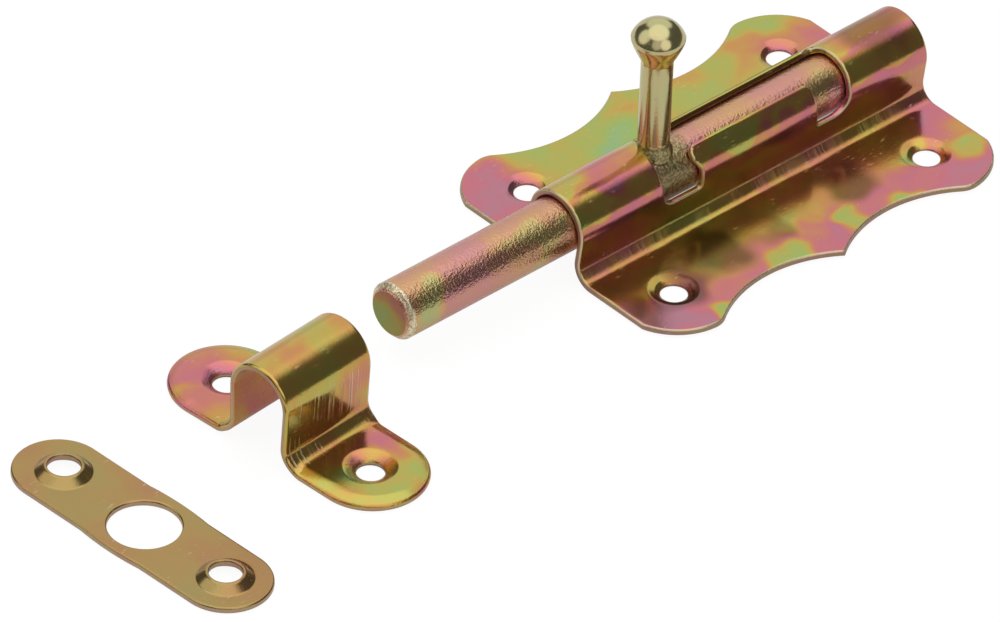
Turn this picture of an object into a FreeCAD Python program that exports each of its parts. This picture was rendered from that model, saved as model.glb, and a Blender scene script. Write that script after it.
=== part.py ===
"""Slide bolt set: bolt plate with its tube housing, round bolt, knob, keeper and strike plate.

Frame: millimetres, +Z up. The origin is the middle of the bolt plate's four screw holes, on
the face that is screwed down (z = 0). The bolt is thrown towards -X, and the knob turns down
towards -Y. The bolt stands thrown, with its knob straight up in the long slot.
"""
import FreeCAD, Part
import math
import os

import Sketcher

SIZES = {
    # bolt plate: one pressed sheet, its outline
    "plate_sheet": 1.3,
    "flange_lift": 0.3,
    "plate_length": 92.4,
    "screw_end_margin": 12.45,
    "screw_pitch_across": 42.0,
    "lobe_radius": 13.2,
    "lobe_blend_radius": 5.0,
    "scallop_radius": 28.0,
    "scallop_from_screw": 17.75,
    "scallop_depth": 5.6,
    # screw holes of the bolt plate and the keeper
    "screw_hole_bore": 5.4,
    "sink_bore": 8.2,
    "sink_land": 0.4,
    "dish_bore": 11.0,
    "dish_depth": 0.35,
    "boss_bore": 8.6,
    "boss_foot_bore": 7.4,
    # tube housing
    "axis_height": 10.9,
    "wall_lean": 7.0,
    "foot_radius": 3.4,
    "slot_front": 24.4,
    "slot_rear": 25.6,
    "slot_far_edge": 4.1,
    "slot_near_edge": 4.0,
    "slot_end_radius": 3.2,
    "tongue_front": 15.5,
    "tongue_waist": 14.1,
    "tongue_waist_rise": 2.2,
    "tongue_slant_rise": 2.4,
    "tongue_rear": 16.8,
    "tongue_corner_radius": 1.8,
    "notch_drop": 2.3,
    "notch_end_radius": 4.2,
    "notch_front_radius": 3.0,
    "notch_corner_radius": 0.8,
    # round bolt
    "bar_bore": 12.0,
    "bar_length": 121.0,
    "bar_reach": 43.5,
    "bar_front_chamfer": 1.2,
    "bar_rear_chamfer": 0.6,
    "running_clearance": 0.3,
    # knob
    "stem_place": 20.7,
    "stem_bore": 6.4,
    "collar_bore": 6.8,
    "collar_height": 1.4,
    "seat_clearance": 0.05,
    "head_bore": 10.8,
    "head_shoulder_bore": 10.1,
    "head_back_place": 28.2,
    "head_cone_height": 3.6,
    "head_band_height": 1.6,
    "head_dome_height": 3.7,
    # keeper
    "keeper_sheet": 1.3,
    "keeper_width": 23.6,
    "keeper_screw_pitch": 38.2,
    "keeper_rise": 2.3,
    "keeper_rim_slope": 2.0,
    "keeper_rim_wall": 1.5,
    "keeper_bare_length": 12.0,
    "keeper_axis_height": 13.9,
    "keeper_side_clearance": 0.4,
    "keeper_place_along": -118.1,
    "keeper_place_across": -5.9,
    "keeper_turn": 4.2,
    # strike plate, lying with its back up
    "strike_sheet": 1.3,
    "strike_width": 18.6,
    "strike_screw_pitch": 44.2,
    "strike_end_margin": 0.7,
    "strike_end_shift": 0.6,
    "strike_hole_bore": 14.5,
    "strike_middle_bore": 19.6,
    "cone_foot_bore": 11.8,
    "cone_rim_bore": 7.8,
    "cone_rise": 1.6,
    "cone_hole_bore": 6.5,
    "cone_mouth_bore": 10.4,
    "strike_place_along": -161.0,
    "strike_place_across": -9.6,
    "strike_turn": 2.5,
}

doc = FreeCAD.newDocument("slide_bolt")
sizes = doc.addObject("Spreadsheet::Sheet", "sizes")
for row, (alias, value) in enumerate(SIZES.items(), start=1):
    sizes.set(f"A{row}", alias)
    sizes.set(f"B{row}", str(value))
    sizes.setAlias(f"B{row}", alias)
doc.recompute()


def bind(formula):
    """The formula with each alias written as a cell of the sizes sheet."""
    for alias in sorted(SIZES, key=len, reverse=True):
        formula = formula.replace(f"<{alias}>", f"sizes.{alias}")
    return formula


def size(formula):
    """The present value of a formula of aliases, in millimetres or degrees."""
    return float(sizes.evalExpression(bind(formula)))


def new_body(name):
    body = doc.addObject("PartDesign::Body", name)
    body.Label = name
    return body


def plane(body, role):
    return next(item for item in body.Origin.OriginFeatures if item.Role == role)


def new_sketch(body, role, name, lift=None):
    """A sketch on one of the body's own planes, lifted along its normal by a formula."""
    sketch = body.newObject("Sketcher::SketchObject", name)
    sketch.AttachmentSupport = [(plane(body, role), "")]
    sketch.MapMode = "FlatFace"
    if lift:
        sketch.setExpression("AttachmentOffset.Base.z", bind(lift))
    return sketch


def drive(sketch, kind, places, name, formula):
    """A constraint of a sketch whose value follows a formula of the sizes."""
    index = sketch.addConstraint(Sketcher.Constraint(kind, *places, size(formula)))
    sketch.renameConstraint(index, name)
    sketch.setExpression(f"Constraints.{name}", bind(formula))


def vector(x, y):
    return FreeCAD.Vector(x, y, 0)


def add_line(sketch, start, end):
    return sketch.addGeometry(Part.LineSegment(vector(*start), vector(*end)))


def add_arc(sketch, centre, radius, start, end):
    """An arc drawn anticlockwise between two points, about a centre."""
    turns = [math.atan2(point[1] - centre[1], point[0] - centre[0]) for point in (start, end)]
    circle = Part.Circle(vector(*centre), FreeCAD.Vector(0, 0, 1), radius)
    return sketch.addGeometry(Part.ArcOfCircle(circle, *turns))


def join(sketch, first, first_end, second, second_end):
    sketch.addConstraint(Sketcher.Constraint("Coincident", first, first_end, second, second_end))


def add_circle(sketch, name, bore, along="0", across="0"):
    """A whole circle, with its bore and its centre driven by formulas."""
    centre = (size(along), size(across))
    circle = Part.Circle(vector(*centre), FreeCAD.Vector(0, 0, 1), size(bore) / 2)
    index = sketch.addGeometry(circle)
    drive(sketch, "Diameter", (index,), f"{name}_bore", bore)
    for kind, formula, axis, way in (("DistanceX", along, -2, "along"), ("DistanceY", across, -1, "across")):
        if formula == "0":
            sketch.addConstraint(Sketcher.Constraint("PointOnObject", index, 3, axis))
        else:
            drive_from_origin(sketch, kind, index, 3, f"{name}_{way}", formula)


def drive_from_origin(sketch, kind, geometry, end, name, formula):
    """A distance from the sketch's origin, measured so that its value is never below 0."""
    if size(formula) < 0:
        drive(sketch, kind, (geometry, end, -1, 1), name, f"-({formula})")
    else:
        drive(sketch, kind, (-1, 1, geometry, end), name, formula)


def add_outline(sketch, name, corners):
    """A closed outline of straight sides, each corner driven by two formulas."""
    points = [(size(along), size(across)) for along, across in corners]
    count = len(points)
    first = sketch.GeometryCount
    for index in range(count):
        add_line(sketch, points[index], points[(index + 1) % count])
    for index in range(count):
        join(sketch, first + index, 2, first + (index + 1) % count, 1)
    for index, (along, across) in enumerate(corners):
        for kind, formula, axis, way in (
            ("DistanceX", along, -2, "along"),
            ("DistanceY", across, -1, "across"),
        ):
            if size(formula) == 0:
                sketch.addConstraint(Sketcher.Constraint("PointOnObject", first + index, 1, axis))
            else:
                drive_from_origin(sketch, kind, first + index, 1, f"{name}_{index}_{way}", formula)


def pad(body, sketch, name, length, middle=False):
    feature = body.newObject("PartDesign::Pad", name)
    feature.Profile = sketch
    feature.setExpression("Length", bind(length))
    feature.Midplane = middle
    doc.recompute()
    return feature


def pocket(body, sketch, name, length, middle=False, along_normal=False):
    """A pocket that has to take material away."""
    before = body.Shape.Volume
    feature = body.newObject("PartDesign::Pocket", name)
    feature.Profile = sketch
    feature.setExpression("Length", bind(length))
    feature.Midplane = middle
    feature.Reversed = along_normal
    doc.recompute()
    if not body.Shape.Volume < before:
        raise RuntimeError(f"{name} takes nothing away")
    return feature


def turned(body, kind, sketch, name):
    """A revolution or a groove about the sketch's upright construction line."""
    before = body.Shape.Volume if kind == "PartDesign::Groove" else 0
    feature = body.newObject(kind, name)
    feature.Profile = sketch
    feature.ReferenceAxis = (sketch, ["Axis0"])
    feature.Angle = 360
    doc.recompute()
    if kind == "PartDesign::Groove" and not body.Shape.Volume < before:
        raise RuntimeError(f"{name} takes nothing away")
    return feature


def add_turning_axis(sketch, along):
    """An upright construction line, about which the sketch is turned."""
    place = size(along)
    index = add_line(sketch, (place, 0), (place, 1))
    sketch.toggleConstruction(index)
    sketch.addConstraint(Sketcher.Constraint("Vertical", index))
    sketch.addConstraint(Sketcher.Constraint("PointOnObject", index, 1, -1))
    drive(sketch, "DistanceY", (index, 1, index, 2), "axis_length", "1")
    if place == 0:
        sketch.addConstraint(Sketcher.Constraint("PointOnObject", index, 1, -2))
    else:
        drive_from_origin(sketch, "DistanceX", index, 1, "axis_place", along)


def edges_where(shape, test):
    return [f"Edge{number}" for number, edge in enumerate(shape.Edges, start=1) if test(edge)]


def soften(body, kind, name, base, edge_names, sizes_of):
    """A fillet or chamfer of named edges, with its sizes bound to formulas."""
    if not edge_names:
        raise RuntimeError(f"{name} finds no edge")
    feature = body.newObject(kind, name)
    feature.Base = (base, edge_names)
    for property_name, formula in sizes_of.items():
        if property_name == "ChamferType":
            feature.ChamferType = formula
        else:
            feature.setExpression(property_name, bind(formula))
    doc.recompute()
    return feature


def lies_along(edge, direction, near, reach):
    """True for a straight edge along a direction whose middle lies near a (y, z) place."""
    if not isinstance(edge.Curve, Part.Line):
        return False
    if abs(abs(edge.Curve.Direction.dot(direction)) - 1) > 1e-6:
        return False
    middle = edge.CenterOfMass
    return math.hypot(abs(middle.y) - near[0], middle.z - near[1]) < reach


ALONG = FreeCAD.Vector(1, 0, 0)


def add_arch_profile(sketch, height, radius, lean, floor):
    """Half-round top with leaning walls, down to a level floor: the section of a pressed arch."""
    axis, round_radius, foot = size(height), size(radius), size(floor)
    slope = math.radians(size(lean))
    wall = ((round_radius - (axis - foot) * math.sin(slope)) / math.cos(slope), foot)
    shoulder = (round_radius * math.cos(slope), axis - round_radius * math.sin(slope))
    arc = add_arc(sketch, (0, axis), round_radius, shoulder, (-shoulder[0], shoulder[1]))
    left = add_line(sketch, (-shoulder[0], shoulder[1]), (-wall[0], foot))
    base = add_line(sketch, (-wall[0], foot), wall)
    right = add_line(sketch, wall, shoulder)
    sketch.addConstraint(Sketcher.Constraint("Tangent", arc, 2, left, 1))
    join(sketch, left, 2, base, 1)
    join(sketch, base, 2, right, 1)
    sketch.addConstraint(Sketcher.Constraint("Tangent", right, 2, arc, 1))
    sketch.addConstraint(Sketcher.Constraint("PointOnObject", arc, 3, -2))
    sketch.addConstraint(Sketcher.Constraint("Symmetric", base, 1, base, 2, -2))
    drive(sketch, "DistanceY", (-1, 1, arc, 3), "axis_height", height)
    drive(sketch, "Radius", (arc,), "round_radius", radius)
    if foot == 0:
        sketch.addConstraint(Sketcher.Constraint("PointOnObject", base, 1, -1))
    else:
        drive_from_origin(sketch, "DistanceY", base, 1, "floor_level", floor)
    half_foot = f"(({radius}) - ({height} - ({floor})) * sin({lean} * 1 deg)) / cos({lean} * 1 deg)"
    drive(sketch, "DistanceX", (-1, 1, base, 2), "half_foot", half_foot)


def raise_arch(body, prefix, tip, arch):
    """The arch of a pressed sheet: padded, its feet filleted, its channel cut and eased below."""
    outer = new_sketch(body, "YZ_Plane", f"{prefix}_outside")
    add_arch_profile(outer, arch["axis"], arch["outer"], arch["lean"], arch["flange_bottom"])
    solid = pad(body, outer, f"{prefix}_wall", arch["length"], middle=True)
    lean = math.radians(size(arch["lean"]))
    level = size(arch["flange_top"])
    wall = (size(arch["outer"]) - (size(arch["axis"]) - level) * math.sin(lean)) / math.cos(lean)
    feet = edges_where(solid.Shape, lambda edge: lies_along(edge, ALONG, (wall, level), 0.05))
    tip = soften(body, "PartDesign::Fillet", f"{prefix}_feet", solid, feet, {"Radius": arch["foot"]})
    inner = new_sketch(body, "YZ_Plane", f"{prefix}_inside")
    add_arch_profile(inner, arch["axis"], arch["inner"], arch["lean"], "-1")
    tip = pocket(body, inner, f"{prefix}_channel", f"{arch['length']} + 2", middle=True)
    level = size(arch["flange_bottom"])
    wall = (size(arch["inner"]) - (size(arch["axis"]) - level) * math.sin(lean)) / math.cos(lean)
    feet = edges_where(tip.Shape, lambda edge: lies_along(edge, ALONG, (wall, level), 0.05))
    inner_foot = {"Radius": f"{arch['foot']} + {arch['sheet']}"}
    return soften(body, "PartDesign::Fillet", f"{prefix}_inner_feet", tip, feet, inner_foot)


def sink_screw_hole(body, role, name, along, top, bottom):
    """A pressed screw hole: a shallow dish, a cone for the screw's head and a short bore."""
    sketch = new_sketch(body, role[0], name, lift=role[1])
    add_turning_axis(sketch, along)
    radii = ["<screw_hole_bore>", "<sink_bore>", "<dish_bore>"]
    hole, cone, dish = [f"({along}) + {radius} / 2" for radius in radii]
    corners = [
        (along, f"{bottom} - 1"),
        (hole, f"{bottom} - 1"),
        (hole, f"{bottom} + <sink_land>"),
        (cone, f"{top} - <dish_depth>"),
        (dish, top),
        (dish, f"{top} + 1"),
        (along, f"{top} + 1"),
    ]
    add_outline(sketch, "hole", corners)
    return turned(body, "PartDesign::Groove", sketch, f"{name}_groove")


def circle_meeting(first, first_radius, second, second_radius):
    """The upper of the two points at given distances from two centres."""
    gap = math.dist(first, second)
    along = (gap**2 + first_radius**2 - second_radius**2) / (2 * gap)
    aside = math.sqrt(first_radius**2 - along**2)
    unit = ((second[0] - first[0]) / gap, (second[1] - first[1]) / gap)
    foot = (first[0] + unit[0] * along, first[1] + unit[1] * along)
    points = [(foot[0] - unit[1] * way, foot[1] + unit[0] * way) for way in (aside, -aside)]
    return max(points, key=lambda point: point[1])


def towards(start, end, distance):
    """The point at a distance from start, on the way to end."""
    share = distance / math.dist(start, end)
    return (start[0] + (end[0] - start[0]) * share, start[1] + (end[1] - start[1]) * share)


SCREW_ALONG = "(<plate_length> / 2 - <screw_end_margin>)"
HOLLOW_ALONG = f"({SCREW_ALONG} - <scallop_from_screw>)"
HOLLOW_ACROSS = "(<screw_pitch_across> / 2 + <lobe_radius> - <scallop_depth> + <scallop_radius>)"


def draw_plate_quarter(sketch):
    """One quarter of the bolt plate's outline: sheared end, round lobe and scalloped side."""
    half = size("<plate_length> / 2")
    screw = (size(SCREW_ALONG), size("<screw_pitch_across> / 2"))
    lobe, blend = size("<lobe_radius>"), size("<lobe_blend_radius>")
    scallop = size("<scallop_radius>")
    hollow = (size(HOLLOW_ALONG), size(HOLLOW_ACROSS))
    corner = (half, screw[1] + math.sqrt(lobe**2 - (half - screw[0]) ** 2))
    turn = circle_meeting(screw, lobe - blend, hollow, scallop + blend)
    peak = towards(screw, turn, lobe)
    ease = towards(hollow, turn, scallop)
    cusp = (0, hollow[1] - math.sqrt(scallop**2 - hollow[0] ** 2))
    middle = add_line(sketch, (0, 0), (half, 0))
    end = add_line(sketch, (half, 0), corner)
    lobe_arc = add_arc(sketch, screw, lobe, corner, peak)
    blend_arc = add_arc(sketch, turn, blend, peak, ease)
    scallop_arc = add_arc(sketch, hollow, scallop, cusp, ease)
    across = add_line(sketch, cusp, (0, 0))
    join(sketch, middle, 1, -1, 1)
    join(sketch, middle, 2, end, 1)
    join(sketch, end, 2, lobe_arc, 1)
    sketch.addConstraint(Sketcher.Constraint("Tangent", lobe_arc, 2, blend_arc, 1))
    sketch.addConstraint(Sketcher.Constraint("Tangent", blend_arc, 2, scallop_arc, 2))
    join(sketch, scallop_arc, 1, across, 1)
    join(sketch, across, 2, middle, 1)
    sketch.addConstraint(Sketcher.Constraint("Horizontal", middle))
    sketch.addConstraint(Sketcher.Constraint("Vertical", end))
    sketch.addConstraint(Sketcher.Constraint("Vertical", across))
    drive(sketch, "DistanceX", (-1, 1, middle, 2), "half_length", "<plate_length> / 2")
    drive(sketch, "DistanceX", (-1, 1, lobe_arc, 3), "screw_along", SCREW_ALONG)
    drive(sketch, "DistanceY", (-1, 1, lobe_arc, 3), "screw_across", "<screw_pitch_across> / 2")
    drive(sketch, "Radius", (lobe_arc,), "lobe", "<lobe_radius>")
    drive(sketch, "Radius", (blend_arc,), "blend", "<lobe_blend_radius>")
    drive(sketch, "Radius", (scallop_arc,), "scallop", "<scallop_radius>")
    drive(sketch, "DistanceX", (-1, 1, scallop_arc, 3), "hollow_along", HOLLOW_ALONG)
    drive(sketch, "DistanceY", (-1, 1, scallop_arc, 3), "hollow_across", HOLLOW_ACROSS)


def mirror_quarter(body, name, features):
    """The four quarters of a body from one, mirrored in its two upright planes."""
    copies = body.newObject("PartDesign::MultiTransform", name)
    copies.Originals = features
    mirrors = []
    for role in ("XZ_Plane", "YZ_Plane"):
        mirror = body.newObject("PartDesign::Mirrored", f"{name}_{role[:2]}")
        mirror.MirrorPlane = (plane(body, role), [""])
        mirrors.append(mirror)
    copies.Transformations = mirrors
    body.Tip = copies
    doc.recompute()
    return copies


HOUSING_INNER = "(<bar_bore> / 2 + <running_clearance>)"
HOUSING_OUTER = "(<bar_bore> / 2 + <running_clearance> + <plate_sheet>)"


def make_bolt_plate():
    """The screwed plate with the half-tube that guides the bolt and its bayonet window."""
    body = new_body("bolt_plate")
    outline = new_sketch(body, "XY_Plane", "plate_quarter", lift="<flange_lift>")
    draw_plate_quarter(outline)
    flange = pad(body, outline, "flange", "<plate_sheet>")
    boss = add_screw_boss(body)
    place = ("XZ_Plane", "-<screw_pitch_across> / 2")
    top = "<flange_lift> + <plate_sheet>"
    hole = sink_screw_hole(body, place, "plate_screw", SCREW_ALONG, top, "0")
    whole = mirror_quarter(body, "four_quarters", [flange, boss, hole])
    arch = {
        "axis": "<axis_height>",
        "outer": HOUSING_OUTER,
        "inner": HOUSING_INNER,
        "lean": "<wall_lean>",
        "foot": "<foot_radius>",
        "sheet": "<plate_sheet>",
        "length": "<plate_length>",
        "flange_top": "<flange_lift> + <plate_sheet>",
        "flange_bottom": "<flange_lift>",
    }
    raise_arch(body, "housing", whole, arch)
    cut_window(body)
    return body


def add_screw_boss(body):
    """The sheet pressed down round a screw hole, as far as the mounting plane."""
    sketch = new_sketch(body, "XZ_Plane", "boss_profile", lift="-<screw_pitch_across> / 2")
    place = SCREW_ALONG
    add_turning_axis(sketch, place)
    middle = "<flange_lift> + <plate_sheet> / 2"
    corners = [
        (place, "0"),
        (f"{place} + <boss_foot_bore> / 2", "0"),
        (f"{place} + <boss_bore> / 2", "<flange_lift>"),
        (f"{place} + <boss_bore> / 2", middle),
        (place, middle),
    ]
    add_outline(sketch, "boss", corners)
    return turned(body, "PartDesign::Revolution", sketch, "screw_boss")


def cut_window(body):
    """The long slot on top, with a notch down the near side at each end and a tongue between."""
    floor = "<axis_height> - <notch_drop>"
    above = f"<axis_height> + {HOUSING_OUTER} + 1"
    side = new_sketch(body, "XZ_Plane", "window_side")
    corner = "<notch_corner_radius>"
    front, rear = ("-<slot_front>", "<notch_front_radius>"), ("-<tongue_front>", corner)
    draw_notch(side, "front", front, rear, floor, above)
    front, rear = ("<tongue_rear>", corner), ("<slot_rear>", "<notch_end_radius>")
    draw_notch(side, "rear", front, rear, floor, above)
    cut = pocket(body, side, "notches", f"{HOUSING_OUTER} + 1", along_normal=True)
    top = new_sketch(body, "XY_Plane", "window_top", lift="<axis_height>")
    corners = [
        ("-<slot_front>", "-<slot_near_edge>"),
        ("<slot_rear>", "-<slot_near_edge>"),
        ("<slot_rear>", "<slot_far_edge>"),
        ("-<slot_front>", "<slot_far_edge>"),
    ]
    add_outline(top, "slot", corners)
    cut = pocket(body, top, "slot", f"{HOUSING_OUTER} + 1", along_normal=True)
    tongue = [("-<tongue_front>", "-<slot_near_edge>"), ("<tongue_rear>", "-<slot_near_edge>")]
    far_corners = [("-<slot_front>", "<slot_far_edge>"), ("<slot_rear>", "<slot_far_edge>")]
    for name, corners, radius in (
        ("tongue_corners", tongue, "<tongue_corner_radius>"),
        ("slot_ends", far_corners, "<slot_end_radius>"),
    ):
        places = [(size(along), size(across)) for along, across in corners]
        names = edges_where(cut.Shape, lambda edge: stands_at(edge, places))
        cut = soften(body, "PartDesign::Fillet", name, cut, names, {"Radius": radius})
    waist = new_sketch(body, "XZ_Plane", "waist_side")
    inside = f"-(<tongue_front> + {corner})"
    low = "<axis_height> + <tongue_waist_rise>"
    high = f"{low} + <tongue_slant_rise>"
    corners = [
        (inside, floor),
        ("-<tongue_waist>", floor),
        ("-<tongue_waist>", low),
        ("-<tongue_front>", high),
        (inside, high),
    ]
    add_outline(waist, "waist", corners)
    pocket(body, waist, "tongue_waist", f"{HOUSING_OUTER} + 1", along_normal=True)


def draw_notch(sketch, name, front, rear, floor, above):
    """An upright notch, open above, with a rounded corner at each end of its floor."""
    (front_place, front_radius), (rear_place, rear_radius) = front, rear
    left, right, low, high = size(front_place), size(rear_place), size(floor), size(above)
    first, second = size(front_radius), size(rear_radius)
    down = add_line(sketch, (left, high), (left, low + first))
    turn = add_arc(sketch, (left + first, low + first), first, (left, low + first), (left + first, low))
    base = add_line(sketch, (left + first, low), (right - second, low))
    end = (right - second, low + second)
    rise = add_arc(sketch, end, second, (right - second, low), (right, low + second))
    up = add_line(sketch, (right, low + second), (right, high))
    top = add_line(sketch, (right, high), (left, high))
    for start, finish in ((down, turn), (turn, base), (base, rise), (rise, up)):
        sketch.addConstraint(Sketcher.Constraint("Tangent", start, 2, finish, 1))
    join(sketch, up, 2, top, 1)
    join(sketch, top, 2, down, 1)
    sketch.addConstraint(Sketcher.Constraint("Vertical", down))
    sketch.addConstraint(Sketcher.Constraint("Vertical", up))
    sketch.addConstraint(Sketcher.Constraint("Horizontal", top))
    drive(sketch, "Radius", (turn,), f"{name}_first_corner", front_radius)
    drive(sketch, "Radius", (rise,), f"{name}_second_corner", rear_radius)
    drive_from_origin(sketch, "DistanceX", down, 1, f"{name}_front", front_place)
    drive_from_origin(sketch, "DistanceX", up, 2, f"{name}_rear", rear_place)
    drive_from_origin(sketch, "DistanceY", base, 1, f"{name}_floor", floor)
    drive_from_origin(sketch, "DistanceY", top, 1, f"{name}_top", above)


def stands_at(edge, places):
    """True for an upright straight edge at one of some (x, y) places."""
    if not isinstance(edge.Curve, Part.Line) or abs(abs(edge.Curve.Direction.z) - 1) > 1e-6:
        return False
    middle = edge.CenterOfMass
    return any(math.hypot(middle.x - x, middle.y - y) < 0.01 for x, y in places)


def make_bolt_bar():
    """The plain round bolt, chamfered at both ends."""
    body = new_body("bolt_bar")
    section = new_sketch(body, "YZ_Plane", "bar_section")
    add_circle(section, "bar", "<bar_bore>")
    bar = pad(body, section, "bar", "<bar_length>")
    for name, place, formula in (
        ("front_chamfer", 0, "<bar_front_chamfer>"),
        ("rear_chamfer", size("<bar_length>"), "<bar_rear_chamfer>"),
    ):
        rim = edges_where(bar.Shape, lambda edge: abs(edge.CenterOfMass.x - place) < 0.01)
        bar = soften(body, "PartDesign::Chamfer", name, bar, rim, {"Size": formula})
    body.setExpression("Placement.Base.x", bind("-(<plate_length> / 2 + <bar_reach>)"))
    body.setExpression("Placement.Base.z", bind("<axis_height>"))
    return body


HEAD_WIDE_PLACE = "<head_back_place> + <head_cone_height> + <head_band_height>"
HEAD_TOP_PLACE = f"{HEAD_WIDE_PLACE} + <head_dome_height>"


def make_knob():
    """The knob: a round stem with a domed head, its root saddled on the bolt."""
    body = new_body("knob")
    profile = new_sketch(body, "XZ_Plane", "knob_profile")
    add_turning_axis(profile, "0")
    axis, seat = "0", "<bar_bore> / 2"
    points = [
        (axis, f"{seat} - 2"),
        ("<collar_bore> / 2", f"{seat} - 2"),
        ("<collar_bore> / 2", seat),
        ("<stem_bore> / 2", f"{seat} + <collar_height>"),
        ("<stem_bore> / 2", "<head_back_place>"),
        ("<head_shoulder_bore> / 2", "<head_back_place> + <head_cone_height>"),
        ("<head_bore> / 2", HEAD_WIDE_PLACE),
        (axis, HEAD_WIDE_PLACE),
    ]
    add_outline(profile, "knob", points)
    turned(body, "PartDesign::Revolution", profile, "stem")
    dome = new_sketch(body, "XZ_Plane", "dome_profile")
    draw_dome(dome)
    turned(body, "PartDesign::Revolution", dome, "dome")
    saddle = new_sketch(body, "YZ_Plane", "saddle_circle")
    add_circle(saddle, "saddle", "<bar_bore> + 2 * <seat_clearance>")
    pocket(body, saddle, "saddle", "<collar_bore> + 2", middle=True)
    body.setExpression("Placement.Base.x", bind("-<stem_place>"))
    body.setExpression("Placement.Base.z", bind("<axis_height>"))
    return body


def draw_dome(sketch):
    """The head's dome, a cap above the head's widest ring."""
    add_turning_axis(sketch, "0")
    wide, base, top = size("<head_bore> / 2"), size(HEAD_WIDE_PLACE), size(HEAD_TOP_PLACE)
    radius = (wide**2 + (top - base) ** 2) / (2 * (top - base))
    centre = (0, top - radius)
    arc = add_arc(sketch, centre, radius, (wide, base), (0, top))
    floor = add_line(sketch, (0, base), (wide, base))
    side = add_line(sketch, (0, top), (0, base))
    join(sketch, floor, 2, arc, 1)
    join(sketch, arc, 2, side, 1)
    join(sketch, side, 2, floor, 1)
    sketch.addConstraint(Sketcher.Constraint("PointOnObject", arc, 3, -2))
    sketch.addConstraint(Sketcher.Constraint("PointOnObject", side, 1, -2))
    sketch.addConstraint(Sketcher.Constraint("PointOnObject", side, 2, -2))
    sketch.addConstraint(Sketcher.Constraint("Horizontal", floor))
    drive(sketch, "DistanceY", (-1, 1, floor, 1), "wide_place", HEAD_WIDE_PLACE)
    drive(sketch, "DistanceY", (-1, 1, side, 1), "top_place", HEAD_TOP_PLACE)
    drive(sketch, "DistanceX", (floor, 1, floor, 2), "wide_radius", "<head_bore> / 2")


def draw_stadium(sketch, width, pitch, inset="0", shift="0"):
    """A strip along Y with round ends, taken in by an inset and shifted towards its far end."""
    radius = f"({width}) / 2 - ({inset})"
    far_place, near_place = f"({pitch}) / 2 + ({shift})", f"({pitch}) / 2 - ({shift})"
    reach, back, half = size(far_place), size(near_place), size(radius)
    far = add_arc(sketch, (0, reach), half, (half, reach), (-half, reach))
    left = add_line(sketch, (-half, reach), (-half, -back))
    near = add_arc(sketch, (0, -back), half, (-half, -back), (half, -back))
    right = add_line(sketch, (half, -back), (half, reach))
    for first, second in ((far, left), (left, near), (near, right), (right, far)):
        sketch.addConstraint(Sketcher.Constraint("Tangent", first, 2, second, 1))
    sketch.addConstraint(Sketcher.Constraint("PointOnObject", far, 3, -2))
    sketch.addConstraint(Sketcher.Constraint("PointOnObject", near, 3, -2))
    drive(sketch, "DistanceY", (-1, 1, far, 3), "far_place", far_place)
    drive(sketch, "DistanceY", (near, 3, -1, 1), "near_place", near_place)
    drive(sketch, "Radius", (far,), "end_radius", radius)


def mirror_ends(body, name, features):
    """The far end's features again at the near end."""
    mirror = body.newObject("PartDesign::Mirrored", name)
    mirror.Originals = features
    mirror.MirrorPlane = (plane(body, "XZ_Plane"), [""])
    body.Tip = mirror
    doc.recompute()
    return mirror


def set_down(body, along, across, turn):
    """Lays a loose piece on the floor at its place, turned about the upright."""
    body.Placement.Rotation = FreeCAD.Rotation(FreeCAD.Vector(0, 0, 1), size(turn))
    body.setExpression("Placement.Rotation.Angle", bind(turn))
    body.setExpression("Placement.Base.x", bind(along))
    body.setExpression("Placement.Base.y", bind(across))


def make_keeper():
    """The staple that the bolt shoots into: an arched strip with dished, rounded ears."""
    body = new_body("keeper")
    outline = new_sketch(body, "XY_Plane", "keeper_outline")
    draw_stadium(outline, "<keeper_width>", "<keeper_screw_pitch>")
    strip = pad(body, outline, "ears", "<keeper_rise>")
    drop = "<keeper_rise> - <keeper_sheet>"
    rim = edges_where(strip.Shape, lambda edge: abs(edge.BoundBox.ZMin - size("<keeper_rise>")) < 0.01)
    slope = {"ChamferType": "Two distances", "Size": "<keeper_rim_slope>", "Size2": drop}
    strip = soften(body, "PartDesign::Chamfer", "turned_rim", strip, rim, slope)
    hollow = new_sketch(body, "XY_Plane", "keeper_hollow")
    draw_stadium(hollow, "<keeper_width>", "<keeper_screw_pitch>", "<keeper_rim_wall>")
    pocket(body, hollow, "hollow", drop, along_normal=True)
    gap = new_sketch(body, "XY_Plane", "under_arch_outline")
    side, end = "<keeper_width> / 2 + 1", "<keeper_bare_length>"
    corners = [(f"-({side})", f"-{end}"), (side, f"-{end}"), (side, end), (f"-({side})", end)]
    add_outline(gap, "gap", corners)
    pocket(body, gap, "under_arch", drop, along_normal=True)
    bare = new_sketch(body, "XY_Plane", "bare_outline", lift=drop)
    side = "<keeper_width> / 2"
    corners = [(f"-({side})", f"-{end}"), (side, f"-{end}"), (side, end), (f"-({side})", end)]
    add_outline(bare, "bare", corners)
    pad(body, bare, "bare_strip", "<keeper_sheet>")
    arch = {
        "axis": "<keeper_axis_height>",
        "outer": "(<bar_bore> / 2 + <keeper_side_clearance> + <keeper_sheet>)",
        "inner": "(<bar_bore> / 2 + <keeper_side_clearance>)",
        "lean": "0",
        "foot": "<foot_radius>",
        "sheet": "<keeper_sheet>",
        "length": "<keeper_width>",
        "flange_top": "<keeper_rise>",
        "flange_bottom": drop,
    }
    raise_arch(body, "arch", body.Tip, arch)
    place = ("YZ_Plane", "0")
    hole = sink_screw_hole(body, place, "ear_screw", "<keeper_screw_pitch> / 2", "<keeper_rise>", drop)
    mirror_ends(body, "near_ear", [hole])
    set_down(body, "<keeper_place_along>", "<keeper_place_across>", "<keeper_turn>")
    return body


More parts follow.
